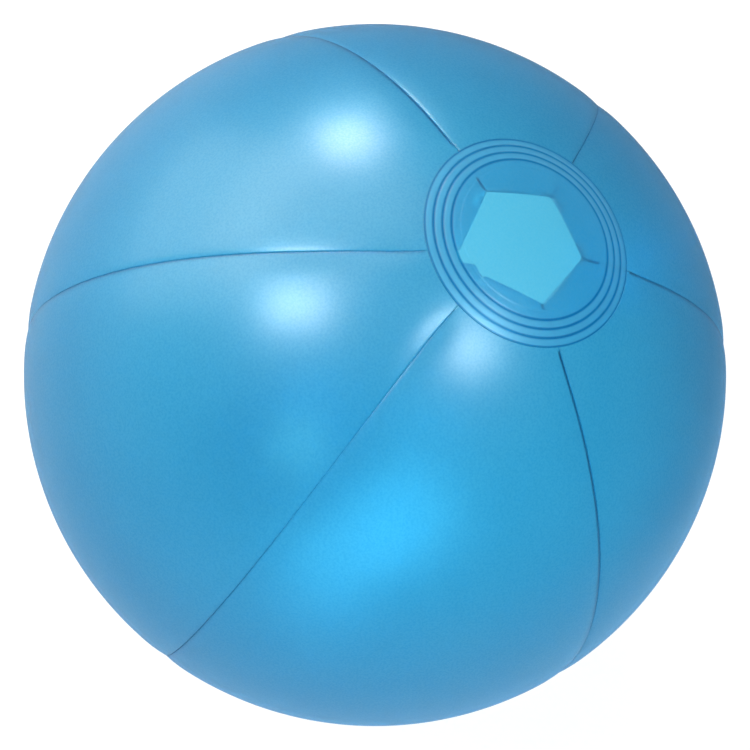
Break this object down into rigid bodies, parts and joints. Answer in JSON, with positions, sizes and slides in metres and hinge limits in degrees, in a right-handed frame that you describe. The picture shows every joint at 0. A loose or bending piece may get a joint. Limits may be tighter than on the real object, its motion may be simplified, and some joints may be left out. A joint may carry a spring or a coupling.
{
  "type": "inflatable beach ball",
  "caption": "Round see-through soft vinyl beach ball of welded panels, with a round cap at each pole and a push-in mouth valve with a plug on a strap.",
  "frame": {"origin": "centre of the ball", "axes": "+Z runs through the middle of the top cap, +Y through the valve, and one seam lies on +X"},
  "size_m": [0.2694, 0.2694, 0.27],
  "materials": {
    "panel_film": "frosted see-through blue vinyl film with a soft shine",
    "cap_film": "the same film, with pressed weld rings near its edge",
    "valve_vinyl": "soft milky clear vinyl moulding"
  },
  "bodies": {
    "ball": {"panel_1": "panel_film", "panel_2": "panel_film", "panel_3": "panel_film", "panel_4": "panel_film", "panel_5": "panel_film", "panel_6": "panel_film", "top_cap": "cap_film", "bottom_cap": "cap_film", "valve_flange": "valve_vinyl", "valve_bell": "valve_vinyl"},
    "stem": {"valve_stem": "valve_vinyl"},
    "plug": {"valve_plug": "valve_vinyl", "plug_strap": "valve_vinyl"},
    "flap": {"check_flap": "valve_vinyl"}
  },
  "joints": [
    {"name": "stem_slide", "type": "slide", "parent": "ball", "child": "stem", "axis": [0, 1, 0], "range_m": [0, 0.022], "deforming": ["valve_bell"]},
    {"name": "plug_hinge", "type": "hinge", "parent": "stem", "child": "plug", "pos_m": [0, 0.134, -0.008], "axis": [-1, 0, 0], "range_deg": [0, 160], "deforming": ["plug_strap"]},
    {"name": "flap_hinge", "type": "hinge", "parent": "stem", "child": "flap", "pos_m": [0, 0.1212, -0.0044], "axis": [1, 0, 0], "range_deg": [0, 60], "stiffness_Nm_per_rad": 0.0002}
  ]
}
